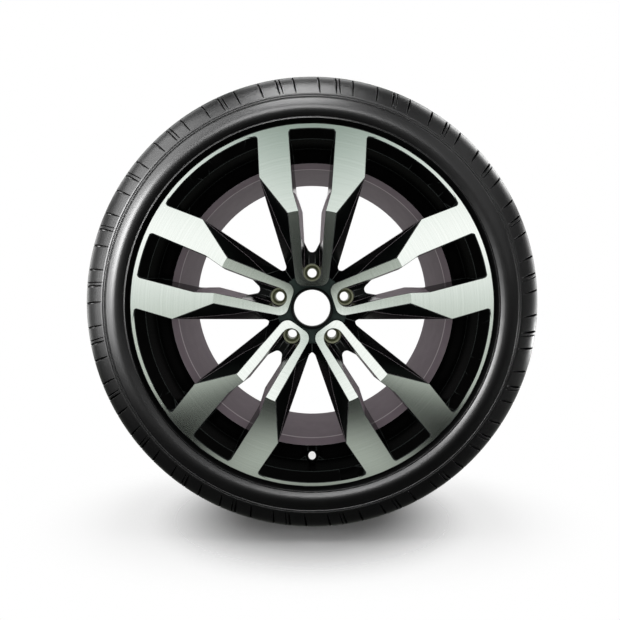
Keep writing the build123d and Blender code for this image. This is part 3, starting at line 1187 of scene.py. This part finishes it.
@dataclass
class Studio:
    """Floor, light and the camera of the photograph.

    Sizes in metres and angles in degrees. The frame, the focal length and the centre of the view
    are in pixels, and the film is in millimetres. The dome's levels stand at angles above the
    horizon, and its tints give red and blue as a base and a rise with the level.
    """

    floor_z: float = -0.352
    floor_side: float = 4.0
    frame: float = 620.0
    focal: float = 335.6
    centre: Corner = (312.1, 301.0)
    film: float = 36.0
    clip: float = 0.01
    stand_off: float = 0.4957
    height: float = 0.0362
    pitch: float = 2.75
    surroundings: Span = (0.25, 1.0)
    apron_side: float = 8.0
    apron_lift: float = 0.003
    dome_r: float = 6.0
    dome_segments: tuple[int, int] = (32, 24)
    dome_tints: tuple[Span, Span] = ((0.62, 0.37), (0.78, 0.20))
    dome_levels: tuple[Span, ...] = (
        (-90.0, 0.3), (-12.0, 0.55), (2.0, 0.84), (10.0, 1.22), (18.0, 1.22),
        (25.0, 1.0), (32.0, 0.86), (38.0, 0.66), (44.0, 0.33), (58.0, 0.16),
        (90.0, 0.1),
    )
    # painted shadow: the patches where the grey floor shows round the tyre
    painted_shadows: tuple[Patch, ...] = (
        Patch((0.0, -0.012), (0.165, 0.087), 0.0, 1.0),
        Patch((0.0, -0.012), (0.30, 0.10), 0.72, 1.0),
    )
    patches: tuple[Patch, ...] = (
        Patch((0.0, -0.76), (0.28, 0.42), 0.008, 0.57),
        Patch((0.0, -0.42), (0.42, 0.11), 0.05, 1.0),
        Patch((-0.46, -0.235), (0.22, 0.14), 0.0, 1.0),
        Patch((0.46, -0.235), (0.22, 0.14), 0.0, 1.0),
        Patch((0.0, -0.06), (0.60, 0.09), 0.5, 1.0),
    )
    above: Lamp = Lamp("above", (0.0, 0.25, 2.3), 1.2, 110.0)
    front: Lamp = Lamp("front", (0.0, -2.6, 0.1), 1.6, 50.0)
    gleams: tuple[Lamp, ...] = (
        Lamp("left", (-1.16, -0.92, -0.05), 0.5, 90.0),
        Lamp("upper_left", (-0.9, -0.80, 0.86), 0.8, 125.0),
        Lamp("top", (-0.1, -0.80, 1.25), 0.5, 150.0),
        Lamp("inner", (-0.95, -1.10, 0.3), 0.5, 460.0),
        Lamp("over", (-0.12, -1.30, 0.65), 0.5, 170.0),
        Lamp("upper_right", (0.75, -1.2, 0.65), 1.2, 50.0),
        Lamp("edge_right", (1.5, 0.2, 0.0), 1.0, 22.0),
        Lamp("edge_low_right", (1.3, 0.1, -0.55), 0.8, 60.0),
        Lamp("edge_upper_right", (1.06, 0.2, 1.06), 1.0, 42.0),
        Lamp("edge_top", (0.0, 0.2, 1.5), 1.0, 18.0),
        Lamp("edge_upper_left", (-1.06, 0.2, 1.06), 1.0, 12.0),
        Lamp("edge_left", (-1.5, 0.2, 0.0), 1.0, 18.0),
    )

    def camera(self) -> None:
        """Set the camera at the photograph's place and angle."""
        lens = bpy.data.cameras.new("photo_camera")
        lens.sensor_width = self.film
        lens.lens = self.film * self.focal / self.frame
        lens.shift_x = (self.frame / 2 - self.centre[0]) / self.frame
        lens.shift_y = (self.centre[1] - self.frame / 2) / self.frame
        lens.clip_start = self.clip
        eye = put("photo_camera", lens)
        eye.location = (0.0, LIP_Y * MM - self.stand_off, self.height)
        eye.rotation_euler = (math.radians(90.0 - self.pitch), 0.0, 0.0)
        bpy.context.scene.camera = eye

    @staticmethod
    def stand(name: str, mesh: Mesh, material: Material, z: float = 0.0) -> Object:
        """Stand a mesh in the studio.

        Args:
            name: Name of the stage piece.
            mesh: Its shape.
            material: Its finish.
            z: Its height.

        Returns:
            The piece.
        """
        mesh.materials.append(material)
        made = put(name, mesh)
        made.location.z = z
        return made

    @classmethod
    def card(cls, name: str, side: float, material: Material, z: float) -> Object:
        """Lay a square sheet under the wheel.

        Args:
            name: Name of the sheet.
            side: Its side.
            material: Its finish.
            z: Its height.

        Returns:
            The sheet.
        """
        half = side / 2
        mesh = bpy.data.meshes.new(name)
        rim = [(-half, -half, 0), (half, -half, 0), (half, half, 0), (-half, half, 0)]
        mesh.from_pydata(rim, [], [(0, 1, 2, 3)])
        return cls.stand(name, mesh, material, z)

    @staticmethod
    def together(sheet: Sheet, patches: tuple[Patch, ...]) -> Socket:
        """Lay patches over each other.

        Args:
            sheet: The material that they are part of.
            patches: The patches.

        Returns:
            The product of their levels.
        """
        level = patches[0].level(sheet)
        for patch in patches[1:]:
            level = sheet.number("MULTIPLY", level, patch.level(sheet))
        return level

    @staticmethod
    def mirror_only(made: Object) -> None:
        """Let a stage piece show in reflections alone."""
        made.visible_camera = made.visible_diffuse = False
        made.visible_shadow = made.visible_transmission = False

    def floor(self) -> Object:
        """Lay the floor: a grey sheet seen only round the tyre, a painted shadow that the lamp
        above deepens.

        Returns:
            The floor.
        """
        sheet = Sheet.start("floor_white")
        material = sheet.dress(
            Base_Color=(0.5, 0.5, 0.5, 1.0),
            Roughness=0.9,
            Specular_IOR_Level=0.0,
            Alpha=sheet.number("SUBTRACT", 1.0, self.together(sheet, self.painted_shadows)),
        )
        return self.card("floor", self.floor_side, material, self.floor_z)

    def apron(self) -> None:
        """Lay the floor that only the bright work mirrors: pale, with dark patches in front."""
        sheet = Sheet.start("apron_grey")
        material = sheet.dress(
            Base_Color=NO_COLOUR,
            Specular_IOR_Level=0.0,
            Emission_Color=(0.95, 1.0, 0.91, 1.0),
            Emission_Strength=self.together(sheet, self.patches),
        )
        z = self.floor_z + self.apron_lift
        self.mirror_only(self.card("apron", self.apron_side, material, z))

    def tinted(self, level: float) -> Colour:
        """A grey of the studio's walls, greener the darker it is."""
        red, blue = (level * (base + rise * math.sqrt(level)) for base, rise in self.dome_tints)
        return red, level, blue

    def dome(self) -> None:
        """Raise the walls, which only the bright work mirrors: pale low down, darker overhead."""
        sheet = Sheet.start("dome_grey")
        height = sheet.remap(sheet.axes(sheet.place())["Z"], (-self.dome_r, self.dome_r))
        stops = [
            ((math.sin(math.radians(up)) + 1) / 2, self.tinted(level))
            for up, level in self.dome_levels
        ]
        material = sheet.dress(
            Base_Color=NO_COLOUR,
            Specular_IOR_Level=0.0,
            Emission_Color=sheet.ramp(height, stops),
            Emission_Strength=1.0,
        )
        mesh = bpy.data.meshes.new("dome")
        work = bmesh.new()
        across, up = self.dome_segments
        bmesh.ops.create_uvsphere(work, u_segments=across, v_segments=up, radius=self.dome_r)
        work.to_mesh(mesh)
        work.free()
        self.mirror_only(self.stand("dome", mesh, material))

    def soft(self, floor: Object) -> None:
        """Hang the lamps that give soft light and no gleam.

        Args:
            floor: The floor, which alone gets the light from above.
        """
        lit = bpy.data.collections.new("floor_light")
        lit.objects.link(floor)
        self.above.hang().light_linking.receiver_collection = lit
        self.front.hang().visible_glossy = False

    def gleam(self, rubber: Object) -> None:
        """Hang the lamps whose gleam runs over the tyre, and shine them on the tyre alone.

        Args:
            rubber: The tyre.
        """
        lit = bpy.data.collections.new("gleam")
        lit.objects.link(rubber)
        for gleam in self.gleams:
            lamp = gleam.hang()
            lamp.visible_diffuse = False
            lamp.light_linking.receiver_collection = lit

    def world(self) -> None:
        """White surroundings for what is seen or mirrored, and softer light from them."""
        world = bpy.data.worlds.new("studio")
        world.use_nodes = True
        bpy.context.scene.world = world
        net = Net(world.node_tree)
        rays = net.node("ShaderNodeLightPath").outputs
        seen = rays["Is Camera Ray"]
        for name in ("Is Glossy Ray", "Is Transmission Ray"):
            seen = net.number("MAXIMUM", seen, rays[name])
        back = next(n for n in net.tree.nodes if n.type == "BACKGROUND")
        net.feed(back.inputs["Color"], WHITE)
        net.feed(back.inputs["Strength"], net.remap(seen, (0.0, 1.0), self.surroundings))

    def build(self) -> None:
        """Set up the whole studio, apart from the gleam on the tyre."""
        self.camera()
        self.soft(self.floor())
        self.dome()
        self.apron()
        self.world()
        bpy.context.scene.view_settings.view_transform = "Standard"


def main() -> None:
    """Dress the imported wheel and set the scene."""
    logging.basicConfig(level=logging.INFO)
    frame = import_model()
    nodes = frame["nodes"]
    studio = Studio()
    studio.build()

    wheel = AlloyWheel().build(nodes["alloy_wheel"])
    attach(wheel, "wheel")
    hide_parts("alloy_wheel")
    LOG.info("wheel casting: %d faces", len(wheel.data.polygons))

    tyre = TyreShape().build(Rubber().make())
    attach(tyre, "wheel")
    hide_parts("tyre")
    studio.gleam(tyre)
    LOG.info("tyre moulding: %d faces", len(tyre.data.polygons))

    Valve().dress(nodes)
    LOG.info("valve: packed solids dressed")


if __name__ == "__main__":
    main()
